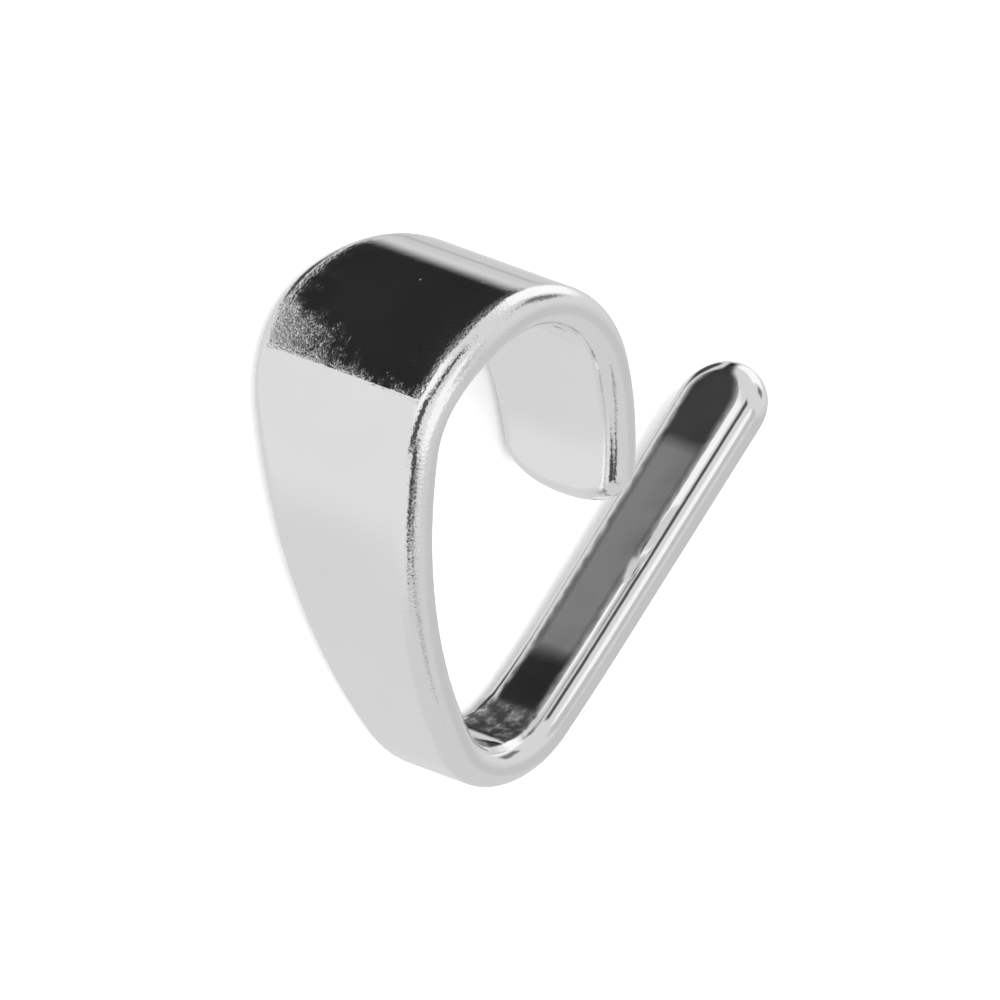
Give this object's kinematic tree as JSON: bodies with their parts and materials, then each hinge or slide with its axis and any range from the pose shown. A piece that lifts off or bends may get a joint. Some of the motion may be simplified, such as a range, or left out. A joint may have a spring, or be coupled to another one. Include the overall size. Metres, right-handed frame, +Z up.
{
  "type": "bail finding",
  "caption": "Open bail bent from one tapered silver strip, with a wide loop for a chain and a narrow tongue that a pendant's hole slides onto.",
  "frame": {"origin": "on the surface that the bail lies on, under the middle of its bounding box", "axes": "the bail lies on its side: +Y towards the loop's crown, +X towards the tongue's tip, +Z up, close to the width of the strip"},
  "size_m": [0.008, 0.0076, 0.0035],
  "materials": {
    "silver": "polished sterling silver, mirror bright with faint tumbling marks"
  },
  "bodies": {
    "root": {"bail": "silver"}
  },
  "joints": []
}
